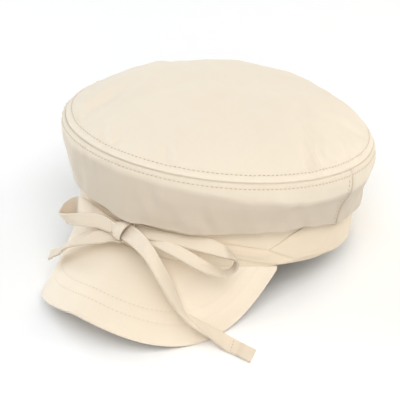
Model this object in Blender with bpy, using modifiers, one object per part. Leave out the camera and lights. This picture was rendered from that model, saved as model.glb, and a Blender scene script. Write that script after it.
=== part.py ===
"""A soft cotton sailor cap with a round puffed crown, a short curved peak and a tied bow.

The cap is drawn in its own frame, in millimetres: the origin is the middle of the head
opening, the peak points along -Y, the wearer's left is +X and the crown rises along +Z.
Angles run round the head from the front (0) towards the wearer's left (+90).
An empty then tips the cap back until it rests on the peak and the back of the band.
"""

import math

import bmesh
import bpy
from mathutils import Euler, Matrix, Vector

MM = 0.001

# Cloth
CLOTH = 1.6
BAND_CLOTH = 1.8
SASH_CLOTH = 1.4
PEAK_BOARD = 2.6
TIE_CLOTH = 1.3
GAP = 0.35

# Head opening: half width and half depth of the outside of the sash
HEAD_HALF_WIDTH = 87.0
HEAD_HALF_DEPTH = 97.5
BAND_INSET = 2.9
BAND_TOP = 28.6
SASH_INSET = 0.8
SASH_TOP = 27.0

# The band's lower edge, from the front (0) to the back (180): angle, height
BAND_EDGE = (
    (0.0, 3.8),
    (45.0, 3.0),
    (70.0, 1.5),
    (90.0, 0.3),
    (110.0, -1.2),
    (150.0, -4.9),
    (180.0, -5.8),
)

# Resting pose: the front is raised by this angle, and the band's edge is pressed flat there
REST_PITCH = 11.45
REST_PRESS = 0.4

AROUND = 72
SIDE_SEAM_ANGLE = 93.0

# The outside of the crown, from the seam round the top down to the fold over the band.
# ring, height, half width, half depth, centre (towards the back)
CROWN_RINGS = (
    ("seam", 65.5, 99.3, 102.9, -8.6),
    ("edge", 61.2, 101.3, 105.4, -8.2),
    ("ridge", 55.5, 101.0, 106.2, -7.6),
    ("under", 50.0, 99.3, 105.9, -6.9),
    ("belly", 43.0, 96.6, 104.9, -5.9),
    ("waist", 35.0, 93.4, 104.3, -4.5),
    ("fold_out", 29.6, 91.8, 103.9, -3.4),
    ("fold", 26.8, 90.8, 103.4, -3.0),
    ("fold_in", 27.4, 89.2, 101.4, -1.6),
    ("tuck", 28.4, 87.5, 98.6, -0.4),
    ("hem_foot", 29.6, 86.3, 96.8, 0.0),
    ("hem", 31.4, 86.2, 96.7, 0.0),
)

FOLD_HEIGHT = 26.8

# How much the fold over the band hangs below its ring height, round the head.
# angle, drop
FOLD_DROP = (
    (-180.0, 2.5),
    (-100.0, 3.0),
    (-60.0, 0.0),
    (-20.0, -1.3),
    (-10.0, -1.0),
    (4.0, 2.0),
    (13.0, 0.7),
    (28.0, 0.9),
    (38.0, 0.0),
    (54.0, -1.9),
    (74.0, -1.5),
    (86.0, 0.9),
    (97.0, 3.6),
    (112.0, 4.0),
    (180.0, 2.5),
)

# The puffed top: its height above the seam, and how square its shoulders are
TOP_RISE = 27.0
TOP_RISE_TO_BACK = 6.0
TOP_SHOULDER = 3.2
TOP_EDGE = 0.85
TOP_RINGS = 12

# Soft folds pressed into the top, seen from above.
# name, x, y, heading (from +X towards +Y), half length, half width, depth
TOP_FOLDS = (
    ("left_fold", -53.0, -68.0, 88.0, 24.0, 7.5, 2.4),
    ("left_rim_fold", -74.0, -52.0, 118.0, 14.0, 6.0, 1.2),
    ("front_pucker", 24.0, -97.0, -50.0, 9.0, 6.0, 1.0),
    ("right_crease", 72.0, -13.0, -10.0, 14.0, 6.0, 1.4),
    ("right_rim_crease", 84.0, -31.0, -36.0, 12.0, 6.0, 2.0),
    ("right_slope", 54.0, 4.0, -40.0, 22.0, 7.0, 1.2),
)

# Soft dents in the side of the crown.
# name, angle, height, lean from upright, half length, half width, depth
SIDE_DENTS = (
    ("front_dent", -22.0, 40.0, 35.0, 14.0, 8.0, 1.8),
    ("middle_dent", 20.0, 33.0, -20.0, 9.0, 7.0, 1.4),
    ("left_dent", 62.0, 34.0, 25.0, 10.0, 7.0, 1.4),
    ("right_dent", -70.0, 42.0, -30.0, 14.0, 9.0, 1.6),
    ("back_dent", 160.0, 42.0, 20.0, 14.0, 9.0, 1.4),
    ("back_side_dent", -135.0, 40.0, -25.0, 14.0, 9.0, 1.4),
)

# The sash on one half of the head: a narrow tie at the front, the whole band at the back.
# angle, lower edge above the band's bottom, upper edge height
SASH_ROWS = (
    (3.0, 9.0, 21.5),
    (30.0, 8.0, 20.5),
    (48.0, 5.4, 17.4),
    (61.0, 2.6, 13.6),
    (66.5, 1.4, 18.4),
    (71.0, 2.4, 22.4),
    (76.0, 3.4, 25.4),
    (82.0, 3.4, SASH_TOP),
    (96.0, 1.4, SASH_TOP),
    (180.0, 0.8, SASH_TOP),
)

# The peak
PEAK_HALF_ANGLE = 66.8
PEAK_REACH = 56.5
PEAK_REACH_GAIN = 0.21
PEAK_SQUARENESS = 3.06
PEAK_SLOPE = 36.6
PEAK_SLOPE_GAIN = 61.7
PEAK_SLOPE_POWER = 1.33
PEAK_FAN = 0.65
PEAK_COLUMNS = 40
PEAK_ROWS = 6

# The bow, in the cap's frame. Each row is a cut across the tie:
# one edge (x, y, z) and the other edge (x, y, z)
LOOP_LEFT = (
    ((8.4, -100.0, 20.2), (8.8, -103.4, 17.6)),
    ((13.4, -99.6, 20.8), (15.4, -104.8, 18.4)),
    ((19.5, -98.9, 21.2), (24.0, -107.2, 19.2)),
    ((29.0, -95.8, 22.0), (37.4, -104.4, 20.6)),
    ((37.7, -91.8, 22.8), (46.0, -99.4, 19.6)),
    ((46.0, -87.6, 23.4), (54.0, -93.6, 17.8)),
    ((53.4, -83.0, 23.2), (61.0, -88.2, 16.4)),
    ((59.9, -79.8, 21.8), (68.0, -85.6, 16.2)),
    ((65.0, -77.6, 19.6), (73.4, -85.0, 16.8)),
    ((68.9, -76.6, 16.8), (77.0, -84.6, 16.8)),
    ((70.9, -76.8, 13.6), (79.0, -85.0, 15.8)),
    ((71.0, -77.8, 10.6), (79.2, -86.0, 12.8)),
    ((69.8, -79.4, 8.0), (77.6, -88.0, 9.4)),
    ((67.0, -82.4, 6.8), (73.8, -92.0, 6.8)),
    ((61.6, -86.8, 9.6), (66.2, -97.8, 8.0)),
    ((54.6, -91.0, 13.0), (56.2, -102.8, 11.4)),
    ((46.1, -94.8, 16.2), (45.4, -106.4, 14.2)),
    ((37.4, -97.4, 17.0), (37.0, -108.0, 16.2)),
    ((28.6, -99.2, 16.6), (29.0, -106.4, 16.0)),
    ((20.0, -100.4, 15.6), (20.6, -105.6, 14.6)),
    ((12.6, -100.6, 15.0), (13.2, -105.6, 13.8)),
    ((6.4, -100.6, 14.2), (6.6, -104.8, 12.8)),
)
LOOP_RIGHT = (
    ((-2.7, -102.0, 19.6), (-4.8, -102.9, 13.4)),
    ((-7.7, -101.4, 20.2), (-6.9, -102.6, 12.4)),
    ((-14.4, -100.4, 21.0), (-12.6, -103.2, 12.5)),
    ((-24.9, -97.8, 21.6), (-20.6, -105.6, 19.2)),
    ((-34.2, -94.8, 21.8), (-27.6, -106.8, 18.4)),
    ((-41.8, -92.8, 21.5), (-35.4, -104.6, 16.4)),
    ((-45.1, -92.2, 20.6), (-40.6, -99.4, 12.0)),
    ((-48.4, -92.2, 19.4), (-44.6, -94.6, 8.5)),
    ((-50.5, -93.4, 17.6), (-47.4, -93.6, 6.6)),
    ((-51.8, -95.6, 15.3), (-47.6, -94.6, 5.4)),
    ((-51.8, -98.6, 12.9), (-46.9, -96.2, 4.3)),
    ((-50.7, -101.6, 11.4), (-46.2, -98.4, 4.0)),
    ((-48.6, -104.4, 11.2), (-44.1, -101.0, 4.6)),
    ((-43.6, -107.0, 12.9), (-39.2, -104.6, 6.3)),
    ((-38.2, -108.6, 15.1), (-34.1, -107.2, 8.2)),
    ((-32.5, -109.2, 17.6), (-29.2, -108.6, 9.8)),
    ((-27.1, -108.6, 19.9), (-24.7, -108.6, 11.1)),
    ((-21.8, -107.2, 21.3), (-20.3, -107.5, 12.0)),
    ((-16.5, -105.9, 21.9), (-15.2, -106.4, 13.0)),
    ((-10.7, -105.0, 21.8), (-9.7, -105.7, 13.0)),
    ((-2.6, -104.4, 20.2), (-4.9, -105.2, 13.2)),
)
TAIL_LEFT = (
    ((8.1, -102.9, 21.9), (6.6, -108.9, 13.5)),
    ((13.4, -104.6, 22.2), (12.7, -111.4, 14.0)),
    ((19.4, -107.1, 22.4), (18.7, -113.6, 14.1)),
    ((26.3, -109.4, 21.1), (24.5, -115.4, 13.2)),
    ((31.5, -110.0, 17.9), (30.0, -116.6, 11.5)),
    ((35.7, -109.6, 13.7), (35.1, -117.2, 8.4)),
    ((38.7, -108.0, 8.8), (39.4, -116.8, 4.2)),
    ((41.5, -106.2, 3.5), (43.4, -116.0, -0.6)),
    ((44.3, -104.6, -1.8), (46.9, -115.0, -5.1)),
    ((47.2, -103.0, -7.6), (50.8, -113.8, -10.0)),
    ((50.2, -101.6, -13.4), (54.9, -112.0, -14.6)),
    ((52.5, -100.2, -18.6), (57.4, -106.8, -21.6)),
    ((54.6, -98.2, -22.6), (63.0, -98.4, -32.0)),
    ((59.4, -94.4, -26.7), (68.2, -93.2, -37.4)),
    ((64.8, -88.2, -31.6), (73.4, -91.0, -39.9)),
    ((69.8, -81.6, -35.8), (77.8, -89.4, -41.3)),
    ((76.6, -77.6, -38.6), (82.6, -88.6, -41.8)),
    ((85.0, -76.6, -39.4), (89.6, -88.4, -41.9)),
    ((95.2, -76.9, -39.6), (99.6, -88.8, -42.0)),
)
TAIL_RIGHT = (
    ((3.4, -101.4, 8.9), (3.4, -105.4, 8.7)),
    ((-1.6, -102.2, 9.8), (-3.1, -105.4, 7.4)),
    ((-8.2, -103.4, 10.8), (-8.3, -107.2, 5.1)),
    ((-14.6, -104.2, 11.2), (-13.8, -108.6, 2.9)),
    ((-21.0, -104.9, 9.0), (-19.2, -110.4, 0.9)),
    ((-27.4, -105.6, 5.6), (-24.4, -112.4, -1.0)),
    ((-33.6, -106.0, 0.4), (-29.4, -113.8, -3.2)),
    ((-40.6, -104.0, -6.2), (-34.5, -114.2, -6.6)),
    ((-48.5, -100.9, -12.8), (-42.1, -111.1, -13.1)),
    ((-55.0, -98.4, -17.0), (-48.5, -108.4, -18.1)),
    ((-60.5, -96.6, -20.6), (-54.0, -106.6, -22.0)),
)

KNOT_CENTRE = (1.8, -103.3, 16.3)
KNOT_SIZE = (9.0, 11.6, 11.6)
KNOT_TURN = (0.0, 20.0, 6.0)

CREAM = (0.86, 0.78, 0.66)
SHADE = (0.80, 0.72, 0.61)


def between(rows, place, column=1):
    """The value of a table's column at a place along its first column, eased from row to row."""
    if place <= rows[0][0]:
        return rows[0][column]
    for low, high in zip(rows, rows[1:]):
        if place <= high[0]:
            share = (place - low[0]) / (high[0] - low[0])
            share = share * share * (3.0 - 2.0 * share)
            return low[column] + (high[column] - low[column]) * share
    return rows[-1][column]


def through(points, share):
    """A point on the smooth curve through a list of vectors, share running from 0 to 1."""
    place = share * (len(points) - 1)
    index = min(int(place), len(points) - 2)
    t = place - index
    before = points[max(index - 1, 0)]
    start = points[index]
    end = points[index + 1]
    after = points[min(index + 2, len(points) - 1)]
    return 0.5 * (
        2.0 * start
        + (end - before) * t
        + (2.0 * before - 5.0 * start + 4.0 * end - after) * t**2
        + (3.0 * start - before - 3.0 * end + after) * t**3
    )


def on_oval(angle, half_width, half_depth, centre, height):
    """A point of an oval round the head, at an angle in degrees from the front."""
    turn = math.radians(angle)
    return Vector((half_width * math.sin(turn), centre - half_depth * math.cos(turn), height))


def half_angle(angle):
    """The angle folded onto one half of the head, 0 at the front and 180 at the back."""
    folded = abs(angle) % 360.0
    return 360.0 - folded if folded > 180.0 else folded


def band_bottom(angle):
    """The height of the band's lower edge, pressed flat at the back where the cap rests."""
    depth = HEAD_HALF_DEPTH - BAND_INSET
    behind = depth * (1.0 + math.cos(math.radians(angle)))
    floor = BAND_EDGE[-1][1] + REST_PRESS - behind * math.tan(math.radians(REST_PITCH))
    return max(between(BAND_EDGE, half_angle(angle)), floor)


def furrow(along, across, length, width):
    """How much of its depth a soft fold has at a place along and across it."""
    return math.exp(-((along / length) ** 2) - (across / width) ** 2)


def top_point(angle, reach):
    """A point of the crown's top: reach is 0 in the middle and 1 at the seam."""
    _, seam_height, half_width, half_depth, centre = CROWN_RINGS[0]
    point = on_oval(angle, half_width * reach, half_depth * reach, centre, seam_height)
    rise = TOP_RISE + TOP_RISE_TO_BACK * (point.y - centre) / half_depth
    point.z += rise * (1.0 - reach**TOP_SHOULDER) ** TOP_EDGE
    for _, x, y, heading, length, width, depth in TOP_FOLDS:
        turn = math.radians(heading)
        right, forward = point.x - x, point.y - y
        along = right * math.cos(turn) + forward * math.sin(turn)
        across = forward * math.cos(turn) - right * math.sin(turn)
        point.z -= depth * furrow(along, across, length, width) * (1.0 - reach**8)
    return point


def side_point(angle, ring):
    """A point of the crown's side on one of its rings."""
    _, height, half_width, half_depth, centre = ring
    top = CROWN_RINGS[0][1]
    share = min(1.0, (top - height) / (top - FOLD_HEIGHT))
    wrapped = (angle + 180.0) % 360.0 - 180.0
    if ring[0] not in ("tuck", "hem_foot", "hem"):
        height -= between(FOLD_DROP, wrapped) * share**2
    inward = 0.0
    for _, dent_angle, dent_height, lean, length, width, depth in SIDE_DENTS:
        sweep = math.radians((angle - dent_angle + 180.0) % 360.0 - 180.0) * half_width
        rise = height - dent_height
        tilt = math.radians(lean)
        along = rise * math.cos(tilt) + sweep * math.sin(tilt)
        across = sweep * math.cos(tilt) - rise * math.sin(tilt)
        inward += depth * furrow(along, across, length, width)
    if ring[0] in ("seam", "fold_in", "tuck", "hem_foot", "hem"):
        inward = 0.0
    return on_oval(angle, half_width - inward, half_depth - inward, centre, height)


def peak_point(share, reach):
    """A point of the peak's middle sheet: share runs from -1 to 1 across, reach from 0 to 1."""
    angle = share * PEAK_HALF_ANGLE
    slope = math.radians(PEAK_SLOPE + PEAK_SLOPE_GAIN * abs(share) ** PEAK_SLOPE_POWER)
    fan = math.radians(angle * PEAK_FAN)
    full = (1.0 - min(1.0, abs(share)) ** PEAK_SQUARENESS) * (1.0 + PEAK_REACH_GAIN * share**2)
    out = Vector((math.sin(fan), -math.cos(fan), 0.0))
    down = out * math.cos(slope) + Vector((0.0, 0.0, -math.sin(slope)))
    upward = out * math.sin(slope) + Vector((0.0, 0.0, math.cos(slope)))
    edge = on_oval(
        angle,
        HEAD_HALF_WIDTH - BAND_INSET + BAND_CLOTH / 2.0,
        HEAD_HALF_DEPTH - BAND_INSET + BAND_CLOTH / 2.0,
        0.0,
        band_bottom(angle) - GAP,
    )
    start = edge - upward * (PEAK_BOARD / 2.0)
    start.z = min(start.z, edge.z - PEAK_BOARD / 2.0 * abs(math.cos(slope)))
    return start + down * (PEAK_REACH * full * reach)


def surface(name, rows, round_trip=False):
    """A sheet mesh through rows of points; round_trip joins the last column to the first."""
    mesh_maker = bmesh.new()
    grid = [[mesh_maker.verts.new(point * MM) for point in row] for row in rows]
    columns = len(rows[0])
    for near, far in zip(grid, grid[1:]):
        for column in range(columns if round_trip else columns - 1):
            following = (column + 1) % columns
            mesh_maker.faces.new((near[column], far[column], far[following], near[following]))
    mesh = bpy.data.meshes.new(name)
    mesh_maker.to_mesh(mesh)
    mesh_maker.free()
    return mesh


def cloth_material(name, colour, roughness):
    material = bpy.data.materials.new(name)
    material.use_nodes = True
    shader = material.node_tree.nodes["Principled BSDF"]
    shader.inputs["Base Color"].default_value = (*colour, 1.0)
    shader.inputs["Roughness"].default_value = roughness
    shader.inputs["Metallic"].default_value = 0.0
    return material


def add_piece(name, mesh, collection, colour=CREAM, roughness=0.9):
    piece = bpy.data.objects.new(name, mesh)
    collection.objects.link(piece)
    piece.data.materials.append(cloth_material(name, colour, roughness))
    piece.data.shade_smooth()
    return piece


def thicken(piece, thickness, offset=0.0):
    """Gives a sheet its cloth thickness, half on each side unless offset says otherwise."""
    solid = piece.modifiers.new("cloth", "SOLIDIFY")
    solid.thickness = thickness * MM
    solid.offset = offset
    solid.use_even_offset = True
    solid.use_quality_normals = True
    return piece


def make_crown_top(collection):
    angles = [360.0 * step / AROUND for step in range(AROUND)]
    reaches = [1.0 - (1.0 - step / TOP_RINGS) ** 1.6 for step in range(1, TOP_RINGS + 1)]
    rows = [[top_point(angle, reach) for angle in angles] for reach in reaches]
    mesh = surface("crown_top", rows, round_trip=True)
    cap_maker = bmesh.new()
    cap_maker.from_mesh(mesh)
    cap_maker.verts.ensure_lookup_table()
    middle = cap_maker.verts.new(top_point(0.0, 0.0) * MM)
    inner = cap_maker.verts[:AROUND]
    for step in range(AROUND):
        cap_maker.faces.new((middle, inner[step], inner[(step + 1) % AROUND]))
    bmesh.ops.recalc_face_normals(cap_maker, faces=cap_maker.faces)
    cap_maker.to_mesh(mesh)
    cap_maker.free()
    return thicken(add_piece("crown_top", mesh, collection), CLOTH)


def make_crown_side(name, first, last, collection):
    """One panel of the crown's side, from the first angle to the last."""
    clear = math.degrees(GAP / HEAD_HALF_WIDTH)
    steps = round((last - first) / 360.0 * AROUND)
    angles = [first + clear + (last - first - 2.0 * clear) * step / steps for step in range(steps + 1)]
    seam, edge = CROWN_RINGS[0], CROWN_RINGS[1]
    step_down = (GAP + 0.2) / (seam[1] - edge[1])
    below_seam = ("edge",) + tuple(a + (b - a) * step_down for a, b in zip(seam[1:], edge[1:]))
    rings = (below_seam,) + CROWN_RINGS[1:]
    rows = [[side_point(angle, ring) for angle in angles] for ring in rings]
    return thicken(add_piece(name, surface(name, rows), collection), CLOTH)


def make_band(collection):
    angles = [360.0 * step / AROUND for step in range(AROUND)]
    half_width = HEAD_HALF_WIDTH - BAND_INSET
    half_depth = HEAD_HALF_DEPTH - BAND_INSET
    rows = []
    for share in (1.0, 0.5, 0.0):
        heights = [band_bottom(a) + (BAND_TOP - band_bottom(a)) * share for a in angles]
        rows.append([on_oval(a, half_width, half_depth, 0.0, z) for a, z in zip(angles, heights)])
    mesh = surface("band", rows, round_trip=True)
    return thicken(add_piece("band", mesh, collection, SHADE), BAND_CLOTH)


def make_sash(collection):
    """The tie sewn round the band: its two narrow ends stop behind the knot."""
    step_angles = [3.0 + 3.0 * step for step in range(30)] + [96.0 + 6.0 * step for step in range(14)]
    angles = step_angles + [180.0] + [360.0 - angle for angle in reversed(step_angles)]
    half_width = HEAD_HALF_WIDTH - SASH_INSET
    half_depth = HEAD_HALF_DEPTH - SASH_INSET
    rows = []
    for share in (1.0, 0.5, 0.0):
        row = []
        for angle in angles:
            folded = half_angle(angle)
            low = band_bottom(angle) + between(SASH_ROWS, folded, 1)
            high = between(SASH_ROWS, folded, 2)
            row.append(on_oval(angle, half_width, half_depth, 0.0, low + (high - low) * share))
        rows.append(row)
    return thicken(add_piece("sash", surface("sash", rows), collection), SASH_CLOTH)


def make_peak(collection):
    shares = [0.985 * math.sin(math.pi / 2.0 * (2.0 * step / PEAK_COLUMNS - 1.0)) for step in range(PEAK_COLUMNS + 1)]
    rows = [[peak_point(share, row / PEAK_ROWS) for share in shares] for row in range(PEAK_ROWS + 1)]
    return thicken(add_piece("peak", surface("peak", rows), collection), PEAK_BOARD)


def make_tie(name, cuts, per_cut, collection):
    """A flat tie along a table of cuts, each one edge and the other edge."""
    edges = [[Vector(cut[side]) for cut in cuts] for side in (0, 1)]
    count = (len(cuts) - 1) * per_cut
    rows = []
    for share in (0.0, 0.5, 1.0):
        row = []
        for step in range(count + 1):
            one = through(edges[0], step / count)
            other = through(edges[1], step / count)
            row.append(one.lerp(other, share))
        rows.append(row)
    return thicken(add_piece(name, surface(name, rows), collection), TIE_CLOTH)


def make_knot(collection):
    """The turn of tie that holds the bow: a rounded block."""
    bpy.ops.mesh.primitive_cube_add(size=1.0)
    knot = bpy.context.object
    for holder in list(knot.users_collection):
        holder.objects.unlink(knot)
    collection.objects.link(knot)
    knot.name = "bow_knot"
    knot.data.name = "bow_knot"
    knot.data.transform(Matrix.Diagonal((*(size * MM for size in KNOT_SIZE), 1.0)))
    knot.location = Vector(KNOT_CENTRE) * MM
    knot.rotation_euler = Euler([math.radians(turn) for turn in KNOT_TURN])
    knot.data.materials.append(cloth_material("bow_knot", CREAM, 0.9))
    knot.data.shade_smooth()
    round_off = knot.modifiers.new("rounding", "BEVEL")
    round_off.width = 3.4 * MM
    round_off.segments = 3
    return knot


def rest_on_floor(pieces, holder):
    """Tips the cap to its resting pitch, then drops it so that its box stands on the origin."""
    holder.rotation_euler = Euler((math.radians(-REST_PITCH), 0.0, 0.0))
    bpy.context.view_layer.update()
    depsgraph = bpy.context.evaluated_depsgraph_get()
    corners = []
    for piece in pieces:
        shown = piece.evaluated_get(depsgraph)
        mesh = shown.to_mesh()
        corners += [shown.matrix_world @ vertex.co for vertex in mesh.vertices]
        shown.to_mesh_clear()
    low = Vector([min(corner[axis] for corner in corners) for axis in range(3)])
    high = Vector([max(corner[axis] for corner in corners) for axis in range(3)])
    holder.location = Vector((-(low.x + high.x) / 2.0, -(low.y + high.y) / 2.0, -low.z))
    bpy.context.view_layer.update()


def main():
    for leftover in list(bpy.data.objects):
        bpy.data.objects.remove(leftover, do_unlink=True)
    cap = bpy.data.collections.new("sailor_cap")
    bpy.context.scene.collection.children.link(cap)
    holder = bpy.data.objects.new("cap_frame", None)
    cap.objects.link(holder)

    pieces = [
        make_crown_top(cap),
        make_crown_side("crown_side_front", -SIDE_SEAM_ANGLE, SIDE_SEAM_ANGLE, cap),
        make_crown_side("crown_side_back", SIDE_SEAM_ANGLE, 360.0 - SIDE_SEAM_ANGLE, cap),
        make_band(cap),
        make_sash(cap),
        make_peak(cap),
        make_tie("bow_loop_left", LOOP_LEFT, 3, cap),
        make_tie("bow_loop_right", LOOP_RIGHT, 3, cap),
        make_tie("bow_tail_left", TAIL_LEFT, 2, cap),
        make_tie("bow_tail_right", TAIL_RIGHT, 2, cap),
        make_knot(cap),
    ]
    for piece in pieces:
        piece.parent = holder
    rest_on_floor(pieces, holder)


main()
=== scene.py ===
"""A cream cotton sailor cap: puffed round crown, short boarded peak, tie knotted at the front.

Each cloth piece is drawn as a grid of points in the cap's own frame, in millimetres: the
origin is the middle of the head opening, the peak points along -Y, the wearer's left is +X
and the crown rises along +Z. Angles run round the head from the front towards the wearer's
left. The grid is pushed in and out along its normals for seams, puckers and folds, tipped
back to the pose that the cap rests in, and given its cloth thickness.
"""

import math

import bpy
import numpy as np
from mathutils import Matrix, Vector


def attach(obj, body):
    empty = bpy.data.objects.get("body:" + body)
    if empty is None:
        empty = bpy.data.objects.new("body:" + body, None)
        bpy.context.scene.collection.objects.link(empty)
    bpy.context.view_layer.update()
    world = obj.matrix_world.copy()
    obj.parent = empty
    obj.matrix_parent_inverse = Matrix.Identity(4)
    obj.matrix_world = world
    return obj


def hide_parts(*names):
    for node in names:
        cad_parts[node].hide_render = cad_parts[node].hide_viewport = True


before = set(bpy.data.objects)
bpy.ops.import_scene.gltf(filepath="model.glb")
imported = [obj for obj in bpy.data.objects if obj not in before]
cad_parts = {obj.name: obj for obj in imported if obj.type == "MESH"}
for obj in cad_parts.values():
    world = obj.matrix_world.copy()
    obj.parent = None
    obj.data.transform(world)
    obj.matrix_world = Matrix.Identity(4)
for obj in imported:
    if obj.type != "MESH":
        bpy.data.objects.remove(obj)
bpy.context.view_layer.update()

MM = 0.001
REST_PITCH = 11.45
CAP_ORIGIN = (0.0, 17.88, 24.40)
FOLD_HEIGHT = 26.8

# Camera, as seen from a cap that is tipped back by VIEW_PITCH
VIEW_AZIMUTH = 37.7
VIEW_ELEVATION = 31.0
VIEW_PITCH = 11.0
VIEW_DISTANCE = 1300.0
VIEW_LENS = 175.4
VIEW_SIDE = -0.00833
VIEW_LIFT = 0.00728

# Thickness of each cloth
CROWN_CLOTH = 1.1
BAND_CLOTH = 1.6
SASH_CLOTH = 1.0
PEAK_BOARD = 2.4
TIE_CLOTH = 1.1
KNOT_CLOTH = 0.9

# The head opening, and how far inside its line the band and the sash run
HEAD_HALF_WIDTH = 87.0
HEAD_HALF_DEPTH = 97.5
BAND_INSET = 2.9
BAND_TOP = 28.6
BAND_FULLNESS = 0.75
BAND_OVER_PEAK = 0.6
SASH_INSET = 0.8
SASH_TOP = 27.0
SIDE_SEAM_ANGLE = 93.0
SIDE_SEAM_OPENING = 0.03

# Radii at which angles round the head are turned into distances along the cloth
BAND_RADIUS = 90.0
SASH_RADIUS = 92.0
PEAK_RADIUS = 95.0
SIDE_RADIUS = 98.0

# ring, height, half width, half depth, centre (towards the back)
CROWN_RINGS = (
    ("seam", 65.5, 99.3, 102.9, -8.6),
    ("edge", 61.2, 101.3, 105.4, -8.2),
    ("ridge", 55.5, 101.0, 106.2, -7.6),
    ("under", 50.0, 99.3, 105.9, -6.9),
    ("belly", 43.0, 96.6, 104.9, -5.9),
    ("waist", 35.0, 93.4, 104.3, -4.5),
    ("fold_out", 29.6, 91.8, 103.9, -3.4),
    ("fold", 26.8, 90.8, 103.4, -3.0),
    ("fold_in", 27.4, 89.2, 101.4, -1.6),
    ("tuck", 28.4, 87.5, 98.6, -0.4),
    ("hem_foot", 29.6, 86.3, 96.8, 0.0),
    ("hem", 31.4, 86.2, 96.7, 0.0),
)

# How far down the side its shoulder lies, round the head: angle, height of the ridge
SHOULDER_LINE = (
    (-180.0, 56.0),
    (-100.0, 57.0),
    (-50.0, 60.5),
    (0.0, 60.8),
    (22.0, 60.0),
    (36.0, 57.6),
    (52.0, 54.4),
    (75.0, 51.0),
    (110.0, 53.0),
    (180.0, 56.0),
)

# How much the fold over the band hangs below its ring height: angle, drop
FOLD_DROP = (
    (-180.0, 2.5),
    (-100.0, 3.0),
    (-60.0, 0.0),
    (-20.0, -1.3),
    (-10.0, -1.0),
    (4.0, 2.0),
    (13.0, 0.7),
    (28.0, 0.9),
    (38.0, 0.0),
    (54.0, -1.9),
    (74.0, -1.5),
    (86.0, 0.9),
    (97.0, 3.6),
    (112.0, 4.0),
    (180.0, 2.5),
)

# The band's lower edge: angle from the front, height
BAND_EDGE = (
    (0.0, 3.8),
    (45.0, 3.0),
    (70.0, 1.5),
    (90.0, 0.3),
    (110.0, -1.2),
    (150.0, -4.9),
    (180.0, -5.8),
)
REST_PRESS = 0.4

# The puffed top: its rise, how much more at the back, how it rounds over to the seam
TOP_RISE = 27.0
TOP_RISE_TO_BACK = 6.0
TOP_SHOULDER = 3.2
TOP_EDGE = 0.85

# The seam round the top: rows of stitching above and below it, as distances along the cloth
STITCH_ABOVE = 5.2
STITCH_BELOW = 3.8
SIDE_TOPSTITCH = 3.2
SIDE_TOPSTITCH_TOP = 60.5
SIDE_TOPSTITCH_ROWS = 70

# The side: how dark painted shade makes it below its shoulder, how far the shoulder stands
# out, how much the strip above it swells
WALL_SHADE = 0.25
SHOULDER_OUT = 0.45
STRIP_SWELL = 0.075

# How fine the crown's grids are: columns round the top, its rows, the side's rows above and
# below its shoulder, degrees between the side's columns
TOP_COLUMNS = 480
TOP_ROWS = 88
ROWS_ABOVE_SHOULDER = 18
ROWS_BELOW_SHOULDER = 64
SIDE_COLUMN_ANGLE = 0.8

# Heights of the relief beside the crown's seams, and how dark painted shade makes the cloth there
SEAM_LIFT = 0.42
SEAM_DIP = 0.38
STITCH_DIP = 0.5
COARSE_PUCKERS = 0.60
FINE_PUCKERS = 0.40
SEAM_SHADE = 0.22
STITCH_SHADE = 0.07

RUMPLE_WAVES = 14
TOP_FOLD_STRENGTH = 1.45
SIDE_FOLD_STRENGTH = 1.25

# Folds in the top, seen from above.
# name, x, y, heading (from +X towards +Y), half length, half width, depth
TOP_FOLDS = (
    ("left_fold", -52.0, -68.0, 88.0, 24.0, 8.0, 2.4),
    ("left_rim_fold", -74.0, -52.0, 118.0, 14.0, 6.0, 1.2),
    ("left_rim_crease", -58.0, -84.0, -38.0, 12.0, 3.0, 1.2),
    ("front_pucker_1", -22.0, -101.0, -50.0, 8.0, 2.6, 1.2),
    ("front_pucker_2", -10.0, -103.0, -70.0, 8.0, 2.6, 1.2),
    ("front_pucker_3", 25.0, -97.0, -50.0, 8.0, 3.2, 1.1),
    ("right_crease_1", 72.0, -13.0, -10.0, 14.0, 4.5, 1.3),
    ("right_crease_2", 85.0, -31.0, -36.0, 11.0, 4.0, 2.0),
    ("right_crease_3", 86.0, -22.0, -40.0, 8.0, 3.0, 1.1),
    ("middle_crease", 32.0, -21.0, 12.0, 9.0, 5.0, 0.5),
    ("right_slope_1", 54.0, 2.0, -40.0, 20.0, 6.0, 0.9),
    ("right_slope_2", 75.0, 28.0, 56.0, 12.0, 5.0, 0.9),
    ("back_crease_1", -20.0, 62.0, 70.0, 18.0, 6.0, 0.35),
    ("back_crease_2", 48.0, 60.0, 40.0, 16.0, 6.0, 0.5),
    ("back_crease_3", -66.0, 22.0, 150.0, 18.0, 6.0, 0.6),
)

# Dents in the side. name, angle, height, lean from upright, half length, half width, depth
SIDE_FOLDS = (
    ("front_dent", -22.0, 40.0, 35.0, 14.0, 8.0, 0.8),
    ("front_ripple_1", 7.0, 43.0, 8.0, 9.0, 4.0, 0.9),
    ("front_ripple_2", 15.0, 49.0, 0.0, 6.0, 4.0, 0.8),
    ("front_ripple_3", 10.0, 38.0, -12.0, 5.0, 3.5, 0.7),
    ("middle_dent", 24.0, 33.0, -20.0, 9.0, 7.0, 1.1),
    ("middle_ripple", 36.0, 35.0, -35.0, 6.0, 3.5, 0.9),
    ("left_dent", 60.0, 36.0, 25.0, 10.0, 7.0, 1.1),
    ("left_ripple_1", 68.0, 45.0, 0.0, 6.0, 3.5, 0.8),
    ("left_ripple_2", 75.0, 31.0, -35.0, 6.0, 3.5, 0.9),
    ("right_dent", -70.0, 42.0, -30.0, 14.0, 9.0, 1.6),
    ("back_dent", 160.0, 42.0, 20.0, 14.0, 9.0, 1.4),
    ("back_ripple", 125.0, 40.0, -20.0, 10.0, 5.0, 1.0),
    ("back_side_dent", -135.0, 40.0, -25.0, 14.0, 9.0, 1.4),
)

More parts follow.
